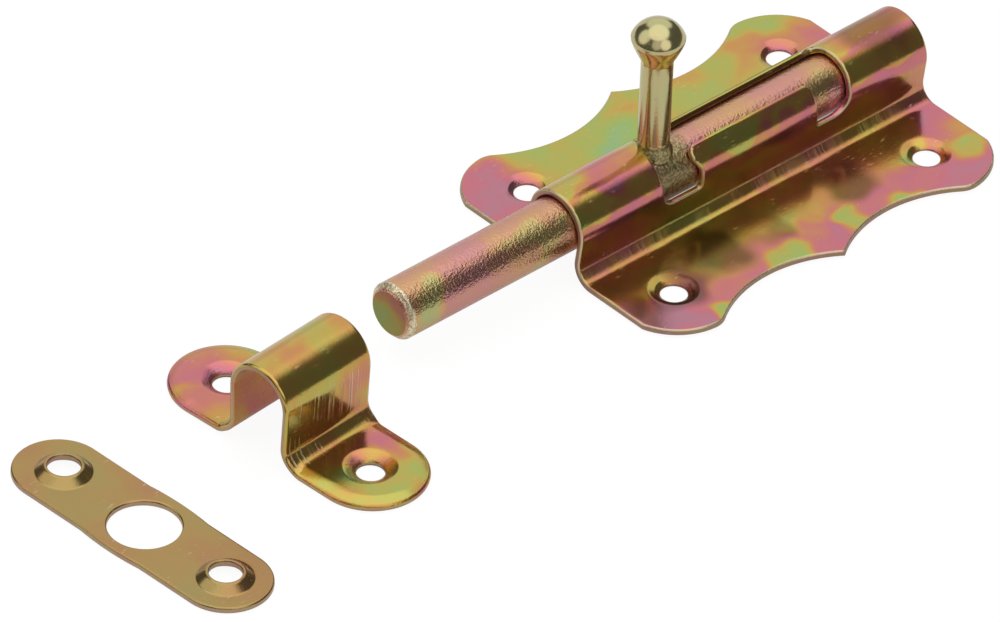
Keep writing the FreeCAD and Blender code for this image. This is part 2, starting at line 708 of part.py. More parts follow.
def make_strike_plate():
    """The flat strike plate, back side up, so that its two pressed screw cones stand up."""
    body = new_body("strike_plate")
    outline = new_sketch(body, "XY_Plane", "strike_outline")
    length = "<strike_screw_pitch> + 2 * <strike_end_margin>"
    draw_stadium(outline, "<strike_width>", length, shift="<strike_end_shift>")
    strip = pad(body, outline, "strip", "<strike_sheet>")
    middle = new_sketch(body, "XY_Plane", "middle_disc")
    add_circle(middle, "middle", "<strike_middle_bore>")
    pad(body, middle, "middle", "<strike_sheet>")
    bolt_hole = new_sketch(body, "XY_Plane", "bolt_hole_circle")
    add_circle(bolt_hole, "bolt_hole", "<strike_hole_bore>")
    pocket(body, bolt_hole, "bolt_hole", "2 * <strike_sheet> + 2", middle=True)
    pitch = "<strike_screw_pitch> / 2"
    rim_top = "<strike_sheet> + <cone_rise>"
    cone = new_sketch(body, "YZ_Plane", "cone_profile")
    add_turning_axis(cone, pitch)
    corners = [
        (pitch, "<strike_sheet> / 2"),
        (f"{pitch} + <cone_foot_bore> / 2", "<strike_sheet> / 2"),
        (f"{pitch} + <cone_foot_bore> / 2", "<strike_sheet>"),
        (f"{pitch} + <cone_rim_bore> / 2", rim_top),
        (pitch, rim_top),
    ]
    add_outline(cone, "cone", corners)
    raised = turned(body, "PartDesign::Revolution", cone, "cone")
    bore = new_sketch(body, "YZ_Plane", "cone_bore_profile")
    add_turning_axis(bore, pitch)
    corners = [
        (pitch, "-1"),
        (f"{pitch} + <cone_mouth_bore> / 2", "-1"),
        (f"{pitch} + <cone_mouth_bore> / 2", "0"),
        (f"{pitch} + <cone_hole_bore> / 2", "<cone_rise>"),
        (f"{pitch} + <cone_hole_bore> / 2", f"{rim_top} + 1"),
        (pitch, f"{rim_top} + 1"),
    ]
    add_outline(bore, "bore", corners)
    hollow = turned(body, "PartDesign::Groove", bore, "cone_bore")
    mirror_ends(body, "near_cone", [raised, hollow])
    set_down(body, "<strike_place_along>", "<strike_place_across>", "<strike_turn>")
    return body


parts = [make_bolt_plate(), make_bolt_bar(), make_knob(), make_keeper(), make_strike_plate()]
doc.recompute()

for item in doc.Objects:
    if {"Invalid", "Error"} & set(item.State):
        raise RuntimeError(f"{item.Name} failed: {item.State}")
for body in parts:
    if body.Shape.isNull() or not body.Shape.isValid() or len(body.Shape.Solids) != 1:
        raise RuntimeError(f"{body.Label} is not one valid solid")

os.makedirs("parts", exist_ok=True)
for body in parts:
    body.Shape.exportStep(f"parts/{body.Label}.step")
    box = body.Shape.BoundBox
    print(f"{body.Label}: volume {body.Shape.Volume:.1f} mm3")
    print(f"  x {box.XMin:.2f} to {box.XMax:.2f}, y {box.YMin:.2f} to {box.YMax:.2f}", end="")
    print(f", z {box.ZMin:.2f} to {box.ZMax:.2f}")
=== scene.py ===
# %% [markdown]
# # A slide bolt in yellow-passivated zinc
# The set is a bolt plate pressed from sheet, a round bolt with a welded knob, a keeper that the
# bolt shoots into and a flat strike plate. The measured model gives every size and joint. Blender
# is used here for what measurement leaves out: soft pressed edges, dished screw holes and the
# rainbow film that the zinc bath leaves. The studio comes first, then the finishes, then the
# pieces, each made in the order in which a workshop makes it.

# %% Load the measured model
import math

import bmesh
import bpy
from mathutils import Matrix, Vector, noise


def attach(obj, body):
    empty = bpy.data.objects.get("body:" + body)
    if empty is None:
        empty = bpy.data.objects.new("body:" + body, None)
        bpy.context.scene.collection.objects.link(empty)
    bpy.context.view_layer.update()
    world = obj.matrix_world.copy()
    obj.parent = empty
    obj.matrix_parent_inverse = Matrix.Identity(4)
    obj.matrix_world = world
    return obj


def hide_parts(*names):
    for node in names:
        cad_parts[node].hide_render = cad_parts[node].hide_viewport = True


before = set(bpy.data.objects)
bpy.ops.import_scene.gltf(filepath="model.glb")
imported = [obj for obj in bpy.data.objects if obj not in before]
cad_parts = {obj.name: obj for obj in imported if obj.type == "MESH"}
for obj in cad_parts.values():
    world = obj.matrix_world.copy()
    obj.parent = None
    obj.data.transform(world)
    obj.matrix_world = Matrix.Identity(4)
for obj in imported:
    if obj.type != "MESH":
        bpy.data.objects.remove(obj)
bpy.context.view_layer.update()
MM = 0.001  # sizes are written in millimetres, and the scene is in metres

# %% [markdown]
# ## The camera
# The set is photographed with a long lens from the front left, looking down at about 38 degrees
# and tilted a little. A camera can be pointed with a constraint, but here its three axes are
# worked out and written into one matrix, so that the roll is exact and nothing moves it later.

# %% Place the camera
PICTURE_WIDTH_PX, SENSOR_WIDTH_MM = 1000, 36


def photo_camera(azimuth, elevation, roll, distance, aim, focal_px):
    """A camera on a sphere round the aim point, with its focal length given in pixels."""
    a, e, r = (math.radians(angle) for angle in (azimuth, elevation, roll))
    back = Vector((math.sin(a) * math.cos(e), -math.cos(a) * math.cos(e), math.sin(e)))
    level = Vector((math.cos(a), math.sin(a), 0))
    rise = back.cross(level)
    right = level * math.cos(r) + rise * math.sin(r)
    up = rise * math.cos(r) - level * math.sin(r)
    data = bpy.data.cameras.new("photo_camera")
    data.sensor_width = SENSOR_WIDTH_MM
    data.lens = focal_px / PICTURE_WIDTH_PX * SENSOR_WIDTH_MM
    data.clip_start, data.clip_end = 0.05, 50
    camera = bpy.data.objects.new("photo_camera", data)
    bpy.context.scene.collection.objects.link(camera)
    place = Matrix((right, up, back)).transposed().to_4x4()
    place.translation = Vector(aim) + back * distance
    camera.matrix_world = place
    bpy.context.scene.camera = camera
    return camera


camera = photo_camera(
    azimuth=-44.02,
    elevation=37.756,
    roll=2.5,
    distance=3.802,
    aim=(-0.06298, -0.00301, 0),
    focal_px=19648,
)
print("camera at", [round(value, 3) for value in camera.matrix_world.translation])

# %% [markdown]
# ## Node maths
# A material is a graph of small nodes. Written out node by node it is hard to read, so one class
# wraps a socket and lets Python's own signs add the Math nodes. The reflected forms are there
# for a plain number on the left, as in 1 - mask.


# %% Wrap sockets
class Wire:
    """An output socket that can be used in Python expressions."""

    def __init__(self, tree, socket):
        self.tree, self.socket = tree, socket

    def maths(self, operation, first, second=0.0):
        """One Math node."""
        settings, sockets = {"operation": operation}, {0: first, 1: second}
        return add_node(self.tree, "ShaderNodeMath", settings, sockets)

    def __add__(self, other):
        return self.maths("ADD", self, other)

    def __sub__(self, other):
        return self.maths("SUBTRACT", self, other)

    def __mul__(self, other):
        return self.maths("MULTIPLY", self, other)

    def __radd__(self, other):
        return self.maths("ADD", other, self)

    def __rsub__(self, other):
        return self.maths("SUBTRACT", other, self)

    def __rmul__(self, other):
        return self.maths("MULTIPLY", other, self)

    def or_more(self, other):
        """The greater of two values."""
        return self.maths("MAXIMUM", self, other)

    def size(self):
        """The value without its sign."""
        return self.maths("ABSOLUTE", self)


# %% [markdown]
# ## Other nodes
# One function adds every other kind of node: its settings first, because they decide which
# sockets there are, then a value or a link for each socket. The small ones below give names to
# what is used again and again.


# %% Add nodes
def add_node(tree, kind, settings=None, sockets=None, out=0):
    """Adds one node: settings, then socket values or links, and gives the chosen output."""
    node = tree.nodes.new(kind)
    for name, value in (settings or {}).items():
        if name == "stops":
            ramp = node.color_ramp.elements
            while len(ramp) < len(value):
                ramp.new(1.0)
            for element, (place, shade) in zip(ramp, value, strict=True):
                element.position, element.color = place, shade
        else:
            setattr(node, name, value)
    for name, value in (sockets or {}).items():
        if isinstance(value, Wire):
            tree.links.new(value.socket, node.inputs[name])
        else:
            node.inputs[name].default_value = value
    return Wire(tree, node.outputs[out])


def vector_maths(tree, operation, first, second, socket=1, out="Vector"):
    """One Vector Math node."""
    settings, sockets = {"operation": operation}, {0: first, socket: second}
    return add_node(tree, "ShaderNodeVectorMath", settings, sockets, out)


def axis_value(tree, place, axis):
    """One coordinate of a place: 0 for X, 1 for Y, 2 for Z."""
    return add_node(tree, "ShaderNodeSeparateXYZ", {}, {0: place}, axis)


def mesh_value(tree, name):
    """A value that the mesh carries at its vertices."""
    return add_node(tree, "ShaderNodeAttribute", {"attribute_name": name}, out="Fac")


def mix(tree, factor, first, second):
    """Two colours mixed by a factor."""
    sockets = {0: factor, 6: first, 7: second}  # 6 and 7 are its colour sockets
    return add_node(tree, "ShaderNodeMix", {"data_type": "RGBA"}, sockets, out=2)


def fade(tree, value, start, end):
    """A soft step from 0 at start to 1 at end."""
    settings = {"interpolation_type": "SMOOTHSTEP"}
    sockets = {"Value": value, "From Min": start, "From Max": end}
    return add_node(tree, "ShaderNodeMapRange", settings, sockets)


def clouds(tree, place, size_mm, detail=2.0, roughness=0.5):
    """Noise from 0 to 1 with patches of about a size in millimetres."""
    sockets = {"Vector": place, "Scale": 1 / (size_mm * MM)}
    sockets |= {"Detail": detail, "Roughness": roughness}
    return add_node(tree, "ShaderNodeTexNoise", {}, sockets)


def colour(code):
    """A colour written as on the web, turned into the linear values that light works with."""
    parts = [int(code[i : i + 2], 16) / 255 for i in (1, 3, 5)]
    return (*[p / 12.92 if p <= 0.04045 else ((p + 0.055) / 1.055) ** 2.4 for p in parts], 1.0)


print("a web grey of 128 is", [round(value, 3) for value in colour("#808080")])

# %% [markdown]
# ## The lights
# Polished metal has hardly a colour of its own: it shows the room. Six round soft lights stand
# about the set: one overhead, one high behind it to the right, one low behind it, one high behind
# it to the left, and two on the camera's side. The room between them is dim, and those dark gaps
# are what draws the round forms. Lamps with area would do too, but discs drawn in the world need
# no objects and keep their edges soft. The camera itself sees the world white.

# %% Make the studio
ROOM_LIGHT = 0.10
SOFT_OUT, SOFT_IN = 6, 4  # degrees by which a light fades beyond and within its rim
LIGHTS = [  # direction, half angle in degrees, strength
    ((0, 0, 1), 36, 1.55),
    ((0.50, 0.50, 0.70), 31, 1.1),
    ((0.55, 0.80, 0.10), 24, 0.9),
    ((-0.60, 0.50, 0.60), 24, 1.2),
    ((-0.62, -0.52, 0.58), 18, 0.8),
    ((-0.12, -0.82, 0.55), 20, 1.4),
]


def studio_world(lights, room):
    """A dim room with round soft lights."""
    world = bpy.data.worlds.new("studio")
    world.use_nodes = True
    tree = world.node_tree
    tree.nodes.clear()
    way = add_node(tree, "ShaderNodeTexCoord")
    strength = room
    for direction, half_angle, light in lights:
        aim = tuple(Vector(direction).normalized())
        near = vector_maths(tree, "DOT_PRODUCT", way, aim, out="Value")
        rim = math.cos(math.radians(half_angle + SOFT_OUT))
        core = math.cos(math.radians(half_angle - SOFT_IN))
        strength = (fade(tree, near, rim, core) * light).or_more(strength)
    looked_at = add_node(tree, "ShaderNodeLightPath", out="Is Camera Ray")
    seen = strength * (1.0 - looked_at) + looked_at
    back = add_node(tree, "ShaderNodeBackground", {}, {"Strength": seen})
    output = tree.nodes.new("ShaderNodeOutputWorld")
    tree.links.new(back.socket, output.inputs["Surface"])
    bpy.context.scene.world = world


studio_world(LIGHTS, ROOM_LIGHT)
bpy.context.scene.view_settings.view_transform = "Standard"
print(len(LIGHTS), "lights")

# %% [markdown]
# ## The table
# The set lies on a white table. A table lit by these lights alone would look grey, so by Light
# Path it glows white to the camera and, more weakly, to the metal, which shows it as a pale
# reflection. The share of plain paint that is left in it takes the soft shadow.

# %% Lay the table
TABLE_HALF_WIDTH, TABLE_HEIGHT = 6.0, -0.0002
GLOW_SEEN, GLOW_MIRRORED = 1.06, 0.9
SHARE_SEEN, SHARE_MIRRORED = 0.88, 0.32  # how much of the glow replaces the paint


def white_table(half_width):
    """A flat pale table that keeps the object's shadow."""
    bm = bmesh.new()
    bmesh.ops.create_grid(bm, x_segments=1, y_segments=1, size=half_width)
    mesh = bpy.data.meshes.new("floor")
    bm.to_mesh(mesh)
    bm.free()
    table = bpy.data.objects.new("floor", mesh)
    bpy.context.scene.collection.objects.link(table)
    table.location.z = TABLE_HEIGHT
    paint = bpy.data.materials.new("white_table")
    paint.use_nodes = True
    tree = paint.node_tree
    tree.nodes.clear()
    looked_at = add_node(tree, "ShaderNodeLightPath", out="Is Camera Ray")
    mirrored = add_node(tree, "ShaderNodeLightPath", out="Is Glossy Ray")
    plain = add_node(tree, "ShaderNodeBsdfDiffuse", {}, {"Color": colour("#f4f4f4")})
    strength = looked_at * GLOW_SEEN + mirrored * GLOW_MIRRORED
    sockets = {"Color": (1, 1, 1, 1), "Strength": strength}
    glow = add_node(tree, "ShaderNodeEmission", {}, sockets)
    share = looked_at * SHARE_SEEN + mirrored * SHARE_MIRRORED
    blend = add_node(tree, "ShaderNodeMixShader", {}, {0: share, 1: plain, 2: glow})
    output = tree.nodes.new("ShaderNodeOutputMaterial")
    tree.links.new(blend.socket, output.inputs["Surface"])
    mesh.materials.append(paint)
    return table


table = white_table(TABLE_HALF_WIDTH)
print("the table is", 2 * TABLE_HALF_WIDTH, "m wide, at", table.location.z, "m")

# %% [markdown]
# ## The rainbow film
# Yellow passivation is a thin clear film on the zinc. Its thickness wanders, and each thickness
# shows another colour: green, yellow, orange, pink and back. So one value stands for the
# thickness, made of broad clouds, soft steps across the piece and a few placed blots, and one
# colour ramp turns it to colour. A painted picture would do it too, but this fits every shape.

# %% Let the film wander
FILM = [
    (0.00, colour("#97bd98")),
    (0.16, colour("#a5bf6e")),
    (0.32, colour("#b9b961")),
    (0.46, colour("#ccb05a")),
    (0.58, colour("#d39b5c")),
    (0.72, colour("#d38476")),
    (0.86, colour("#d07a88")),
    (1.00, colour("#bf8494")),
]
WANDER_PER_METRE, WANDER_REACH = 95.0, 0.013


def wander(tree, place):
    """The place shoved about a little, so that what is drawn there gets an irregular border."""
    sockets = {"Vector": place, "Scale": WANDER_PER_METRE, "Detail": 1.0}
    shove = add_node(tree, "ShaderNodeTexNoise", {}, sockets, out="Color")
    shove = vector_maths(tree, "SUBTRACT", shove, (0.5, 0.5, 0.5))
    shove = vector_maths(tree, "SCALE", shove, WANDER_REACH, socket="Scale")
    return vector_maths(tree, "ADD", place, shove)


def blot(tree, place, centre, reach, amount):
    """A soft spot in millimetres: an amount in its middle, and nothing beyond its reach."""
    centre = tuple(value * MM for value in centre)
    away = vector_maths(tree, "DISTANCE", place, centre, out="Value")
    return fade(tree, away, reach * MM, reach * 0.4 * MM) * amount


def film_thickness(tree, place, level, swing, patch_mm, drift, blots):
    """The film's thickness from 0 to 1: a level, soft steps along an axis, clouds and blots."""
    thick = level + (clouds(tree, place, patch_mm) - 0.5) * swing
    for axis, start, end, amount in drift:
        along = axis_value(tree, place, axis)
        thick = thick + fade(tree, along, start * MM, end * MM) * amount
    for centre, reach, amount in blots:
        thick = thick + blot(tree, place, centre, reach, amount)
    return thick


print("the film has", len(FILM), "colours")

# %% [markdown]
# ## Wear
# The parts have rubbed together in a drum and in their box. So the film is scratched, finely and
# in patches. Over the bends the press tool has drawn fine lines across the sheet. And where a
# part was welded or its chamfer rubbed bare, the film is scorched or gone in a ragged band.


# %% Scratch and mark
def scratches(tree, place, dull):
    """Short fine scratches that run along the piece, thick in the dull patches."""
    stretched = vector_maths(tree, "MULTIPLY", place, (0.3, 1.0, 1.0))
    line = fade(tree, clouds(tree, stretched, 0.55, 2.0, 0.6), 0.62, 0.72)
    return line * fade(tree, dull, 0.48, 0.62)


def press_marks(tree, place, per_mm):
    """Fine lines that the press tool drew over the bends: 0, or near 1 in a line."""
    sockets = {"W": mesh_value(tree, "along"), "Scale": per_mm, "Detail": 4.0, "Roughness": 0.7}
    line = add_node(tree, "ShaderNodeTexNoise", {"noise_dimensions": "1D"}, sockets)
    patches = fade(tree, clouds(tree, place, 7.0), 0.38, 0.6)
    return fade(tree, line, 0.53, 0.64) * mesh_value(tree, "drawn") * patches


def band(tree, place, axis, centre, half_width):
    """1 within a band across one axis, in millimetres, and 0 beyond its ragged border."""
    along = axis_value(tree, place, axis) - centre * MM
    ragged = (clouds(tree, place, 1.2, 3.0) - 0.5) * (half_width * 0.8 * MM)
    return fade(tree, along.size() + ragged, half_width * MM, half_width * 0.75 * MM)


print("scratches, press marks and bands are ready")

# %% [markdown]
# ## One finish for all
# Every piece has been in the same bath, so one function makes every finish. It mixes the film's
# colour with a tint, painted shade and wear. The same wear also makes the metal rougher and
# deepens its grain, because a scratch that only changes colour looks painted on.

# %% Make a finish
# PAINTED_SHADE is a dark brown for painted shade; BARE_ZINC is the pale metal under worn film.
PAINTED_SHADE, BARE_ZINC = colour("#5a4320"), colour("#e6dcc4")
METAL_SHARE = 0.93
SCRATCH_SHOWS, SCRATCH_ROUGHENS = 0.3, 0.3
BAND_SHOWS, BAND_ROUGHENS = 0.85, 0.14
UNDERSIDE_THICKENS, UNDERSIDE_ROUGHENS = 0.12, 0.12
DULL_ROUGHENS, WEAR_DEEPENS, SHEET_WAVES = 0.14, 12.0, 1.5


def film_finish(
    name,
    level,
    swing,
    patch_mm,
    drift=(),
    blots=(),
    shade_spots=(),
    bands=(),
    tint=None,
    grain=0.25,
    grain_mm=0.45,
    rough=0.16,
    marks=None,
):
    """Zinc under a passivation film, with fine grain, scratches and scorched or worn bands.

    level is the film's mean thickness, swing is how far its clouds move it, and patch_mm is how
    broad they are. tint is a colour and its share, and marks are the strength of the press tool's
    lines and how close they lie. shade_spots are blots of painted shade.
    """
    paint = bpy.data.materials.new(name)
    paint.use_nodes = True
    tree = paint.node_tree
    shader = tree.nodes["Principled BSDF"]
    place = add_node(tree, "ShaderNodeTexCoord", out="Object")
    moved = wander(tree, place)
    thick = film_thickness(tree, moved, level, swing, patch_mm, drift, blots)
    if marks:
        under = mesh_value(tree, "under")
        thick = thick + under * UNDERSIDE_THICKENS
    shown = add_node(tree, "ShaderNodeValToRGB", {"stops": FILM}, {0: thick})
    if tint:
        shown = mix(tree, tint[1], shown, colour(tint[0]))
    # Blots of painted shade pull the colour towards dark brown.
    for centre, reach, amount in shade_spots:
        shown = mix(tree, blot(tree, moved, centre, reach, amount), shown, PAINTED_SHADE)
    fine = clouds(tree, place, grain_mm, 2.0, 0.6)
    dull = clouds(tree, place, 8.0, 3.0, 0.6)
    worn = scratches(tree, place, dull) * SCRATCH_SHOWS
    harsh = worn * SCRATCH_ROUGHENS
    if marks:
        worn = worn.or_more(press_marks(tree, place, marks[1]) * marks[0])
        harsh = worn * SCRATCH_ROUGHENS + under * UNDERSIDE_ROUGHENS
    shown = mix(tree, worn, shown, BARE_ZINC)
    for axis, centre, half_width, dark, pale in bands:
        amount = band(tree, place, axis, centre, half_width)
        grit = mix(tree, fade(tree, fine, 0.44, 0.58), colour(dark), colour(pale))
        shown = mix(tree, amount * BAND_SHOWS, shown, grit)
        harsh = harsh + amount * BAND_ROUGHENS
    tree.links.new(shown.socket, shader.inputs["Base Color"])
    shader.inputs["Metallic"].default_value = METAL_SHARE
    gloss = rough + (dull - 0.5) * DULL_ROUGHENS + harsh
    tree.links.new(gloss.socket, shader.inputs["Roughness"])
    height = fine * (grain + harsh * WEAR_DEEPENS) + clouds(tree, place, 14.0, 1.0) * SHEET_WAVES
    sockets = {"Strength": 0.25, "Distance": 0.0002, "Height": height}
    bump = add_node(tree, "ShaderNodeBump", {}, sockets)
    tree.links.new(bump.socket, shader.inputs["Normal"])
    return paint


print("every finish is", METAL_SHARE, "metal")

# %% [markdown]
# ## The plate's finish
# The far flange is greener, the tube and the near flange pinker, so the film's thickness steps up
# and down across the plate. The blots put each patch where it is on the real plate. Patches of
# painted shade darken the near flange beside the tube, in place of its dark reflection of the
# tube, and the top of the tube's rear end. The sheared rim is greyer, because the film takes badly
# there, and darker as painted shade for the dim table that it mirrors. Handling has rubbed its
# upper edge pale, and one edge of the window lies in the bar's shade.

# %% Finish the plate
PLATE_DRIFT = [  # axis, from, to, amount
    (1, 12, 2, 0.15),
    (1, -1.0, -2.8, 0.22),
    (1, -3.6, -5.0, -0.20),
    (1, -17, -24, 0.30),
    (2, 15.2, 13.8, 0.28),
    (2, 11.2, 9.5, -0.22),
]
PLATE_BLOTS = [  # centre, reach, amount
    ((-43, 25, 1), 16, 0.52),
    ((41, 22, 1), 10, 0.45),
    ((30, 27, 1), 8, 0.22),
    ((-9, 19, 1), 9, -0.18),
    ((-22, 14, 1), 8, 0.18),
    ((12, 31, 1), 9, 0.15),
    ((-2, 28, 1), 7, 0.16),
    ((22, 20, 1), 7, 0.12),
    ((-33, 2, 19), 9, 0.30),
    ((37, 2, 17), 14, 0.26),
    ((-38, -8, 6), 10, 0.16),
    ((-10, -30, 1), 7, -0.52),
    ((10, -28, 1), 7, -0.58),
    ((21, -30, 1), 6, -0.55),
    ((-30, -35, 1), 7, -0.55),
    ((43, -13, 1), 8, 0.34),
    ((41, -24, 1), 6, -0.55),
    ((33.7, -19, 1), 5, -0.40),
    ((-33.7, -21, 1), 7, 0.30),
    ((-43, -24, 1), 10, 0.30),
    ((0, -22, 1), 7, -0.15),
    ((-20, -22, 1), 8, -0.20),
]
# Painted shade (centre, reach, amount): the near flange's dark reflection of the tube, and the
# tube's rear end.
PLATE_SHADE_SPOTS = [
    ((-32, -21, 1), 9, 0.7),
    ((-43, -18, 1), 6, 0.55),
    ((-19, -19, 1), 9, 0.75),
    ((-7, -20, 1), 6, 0.5),
    ((15, -17, 1), 8, 0.7),
    ((38, 1, 17), 10, 0.5),
]
plate_zinc = film_finish(
    "plate_zinc", 0.29, 0.8, 14.0, PLATE_DRIFT, PLATE_BLOTS, PLATE_SHADE_SPOTS, marks=(0.2, 4.0)
)
# The plate's sheared rim: a greyer film, and darker as painted shade for the dim table that it
# mirrors.
plate_edge = film_finish("plate_edge", 0.6, 0.8, 8.0, tint=("#8f8079", 0.66), rough=0.34)
worn_rim = film_finish("worn_rim", 0.5, 0.8, 8.0, tint=("#ddd0b6", 0.7), grain=1.5, rough=0.40)
shaded_edge = film_finish("shaded_edge", 0.6, 0.6, 8.0, tint=("#2e2115", 0.75), rough=0.38)
print("plate:", len(PLATE_BLOTS), "blots,", len(PLATE_SHADE_SPOTS), "shade_spots")

# %% [markdown]
# ## The finish of the bar and the knob
# The bar is drawn stock, not sheet: its skin is pebbled, so its grain is much deeper. The film is
# scorched grey about the weld and rubbed pale on the chamfer. The sawn end is duller and olive,
# and painted darker as shade for the shadowed table that it mirrors.
# The knob has taken the palest film of all.

# %% Finish the bar and the knob
BAR_DRIFT = [(1, -2.2, -3.8, -0.15), (1, -5.0, -5.9, 0.15)]
BAR_BLOTS = [((-83, -4, 14), 6, -0.26)]
BAR_BANDS = [(0, -20.7, 7.5, "#82774f", "#b9ac7c"), (0, -88.65, 0.75, "#c9bc92", "#fff4d4")]
bar_zinc = film_finish(
    "bar_zinc",
    0.70,
    0.8,
    13.0,
    BAR_DRIFT,
    BAR_BLOTS,
    bands=BAR_BANDS,
    tint=("#d6b9a0", 0.35),
    grain=3.6,
    grain_mm=0.55,
    rough=0.17,
)
# The sawn end's finish: duller and olive, and darker with painted shade for the shadowed table it
# mirrors.
END_BLOTS = [((-90, 4.5, 7), 8, -0.46)]
shaded_bar_end = film_finish("shaded_bar_end", 0.70, 0.5, 6.0, (), END_BLOTS, tint=("#4d4a28", 0.5), rough=0.3)
KNOB_BANDS = [(2, 17.0, 2.8, "#82774f", "#b9ac7c")]
knob_zinc = film_finish("knob_zinc", 0.4, 0.9, 8.0, bands=KNOB_BANDS, tint=("#cdc496", 0.78))
print("bar:", len(BAR_BANDS), "bands; knob:", len(KNOB_BANDS), "band")

# %% [markdown]
# ## The finish of the keeper and the strike plate
# The keeper has the same film as the plate, with plainer marks of the tool on its legs. The
# strike plate's back is more even and browner, because it lay on its face in the bath.

# %% Finish the keeper and the strike plate
KEEPER_BLOTS = [
    ((-119.6, 14, 1), 15, 0.20),
    ((-111, -20, 1), 7, 0.20),
    ((-109.5, -14, 9), 9, 0.16),
    ((-118, -22, 0), 6, -0.35),
    ((-116, -31, 1), 9, -0.28),
    ((-116, -38, 0), 6, 0.15),
]
keeper_zinc = film_finish("keeper_zinc", 0.48, 0.8, 12.0, (), KEEPER_BLOTS, marks=(0.75, 1.2))
strike_zinc = film_finish("strike_zinc", 0.45, 1.0, 16.0, tint=("#ab8b5e", 0.74), rough=0.2)
# The sheared rims of the keeper and the strike plate: a greyer film, darkened as painted shade for
# the dim table they mirror.
cut_edge = film_finish("cut_edge", 0.6, 0.8, 8.0, tint=("#a89f8d", 0.62), rough=0.32)
print("keeper:", len(KEEPER_BLOTS), "blots")

# %% [markdown]
# ## Drawing with a few vertices
# Every sheet piece starts as a flat blank, as in the press shop. Its outline grows out of one
# vertex: pulled out for a straight run, spun about a centre for an arc. Spin and extrude leave
# the edges behind, so no list of points has to be worked out.

# %% Draw lines and arcs
CORNER_STEP = 9.0


def line_to(bm, vert, x, y):
    """Pulls a new vertex out of the last one."""
    new = bmesh.ops.extrude_vert_indiv(bm, verts=[vert])["verts"][0]
    new.co = (x, y, vert.co.z)
    return new


def arc_to(bm, vert, centre, end, way, step=4.0):
    """Spins the last vertex about a centre up to an end point; way 1 is anticlockwise."""
    first = math.atan2(vert.co.y - centre[1], vert.co.x - centre[0])
    last = math.atan2(end[1] - centre[1], end[0] - centre[0])
    angle = way * ((way * (last - first)) % math.tau)
    steps = max(2, round(math.degrees(abs(angle)) / step))
    pivot = (centre[0], centre[1], vert.co.z)
    spun = bmesh.ops.spin(bm, geom=[vert], cent=pivot, axis=(0, 0, 1), angle=angle, steps=steps)
    return next(item for item in spun["geom_last"] if isinstance(item, bmesh.types.BMVert))


def draw(bm, corners, closed=True, step=CORNER_STEP):
    """Straight runs through (x, y, radius) corners, each corner spun round to its radius."""
    count = len(corners)
    first = vert = None
    for number, (x, y, radius) in enumerate(corners):
        here = Vector((x, y))
        start = end = here
        if radius:
            before = (Vector(corners[number - 1][:2]) - here).normalized()
            after = (Vector(corners[(number + 1) % count][:2]) - here).normalized()
            half = before.angle(after) / 2
            start = here + before * radius / math.tan(half)
            end = here + after * radius / math.tan(half)
            centre = here + (before + after).normalized() * radius / math.sin(half)
            way = 1 if before.cross(after) < 0 else -1
        if vert is None:
            first = vert = bm.verts.new((*start, 0))
        else:
            vert = line_to(bm, vert, *start)
        if radius:
            vert = arc_to(bm, vert, centre, end, way, step)
    if closed:
        bm.edges.new((vert, first))


def circle_meeting(first, first_radius, second, second_radius):
    """The upper of the two points at given distances from two centres."""
    gap = math.dist(first, second)
    along = (gap**2 + first_radius**2 - second_radius**2) / (2 * gap)
    aside = math.sqrt(first_radius**2 - along**2)
    unit = ((second[0] - first[0]) / gap, (second[1] - first[1]) / gap)
    foot = (first[0] + unit[0] * along, first[1] + unit[1] * along)
    points = [(foot[0] - unit[1] * side, foot[1] + unit[0] * side) for side in (aside, -aside)]
    return max(points, key=lambda point: point[1])


def towards(start, end, distance):
    """The point at a distance from start, on the way to end."""
    share = distance / math.dist(start, end)
    return (start[0] + (end[0] - start[0]) * share, start[1] + (end[1] - start[1]) * share)


print("a square corner is spun in", round(90 / CORNER_STEP), "steps")

# %% [markdown]
# ## Pressing a blank
# The arch of the housing is a strip bent over a bar: round over the top, a wall, then a foot
# bent out to the flange. The bend is described once as runs of length and turn. Each vertex of
# the flat blank knows how far it is from the crown, and is laid that far along the bent line,
# with its height above the blank as the offset. The blank is cut across at each few degrees of
# bend first, because a face can't bend by itself.

# %% Bend a flat blank
FLANGE_RUN = 200.0  # more than any flange needs


def arch(crown, foot_level, round_radius, foot_radius, lean):
    """The runs (length, turn) of half an arch from its crown down to the flange."""
    turn = 90 + lean
    drop = (round_radius + foot_radius) * (1 - math.cos(math.radians(turn)))
    wall = (crown - foot_level - drop) / math.sin(math.radians(turn))
    over = (round_radius * math.radians(turn), -turn)
    foot = (foot_radius * math.radians(turn), turn)
    return {"crown": crown, "runs": [over, (wall, 0), foot, (FLANGE_RUN, 0)]}


def follow(bend, length):
    """The place (y, z) and the heading after a length from the crown."""
    y, z, heading = 0.0, bend["crown"], 0.0
    for run, turn in bend["runs"]:
        part = min(length, run)
        if turn:
            radius = run / math.radians(turn)
            after = heading + part / radius
            y += radius * (math.sin(after) - math.sin(heading))
            z += radius * (math.cos(heading) - math.cos(after))
            heading = after
        else:
            y += part * math.cos(heading)
            z += part * math.sin(heading)
        length -= part
        if length <= 0:
            break
    return y, z, heading


def foot_reach(bend):
    """Length from the crown to the flange, and how far out the flange begins."""
    length = sum(run for run, turn in bend["runs"][:3])
    return length, follow(bend, length)[0]


def score(bm, bend, step=5.0):
    """Cuts the blank across wherever it will bend."""
    length = 0.0
    for run, turn in bend["runs"][:3]:
        cuts = max(1, round(abs(turn) / step))
        for number in range(cuts):
            place = length + run * (number + 1) / cuts
            for side in (1, -1):
                everything = [*bm.verts, *bm.edges, *bm.faces]
                bmesh.ops.bisect_plane(
                    bm,
                    geom=everything,
                    dist=1e-4,
                    plane_co=(0, side * place, 0),
                    plane_no=(0, 1, 0),
                )
        length += run


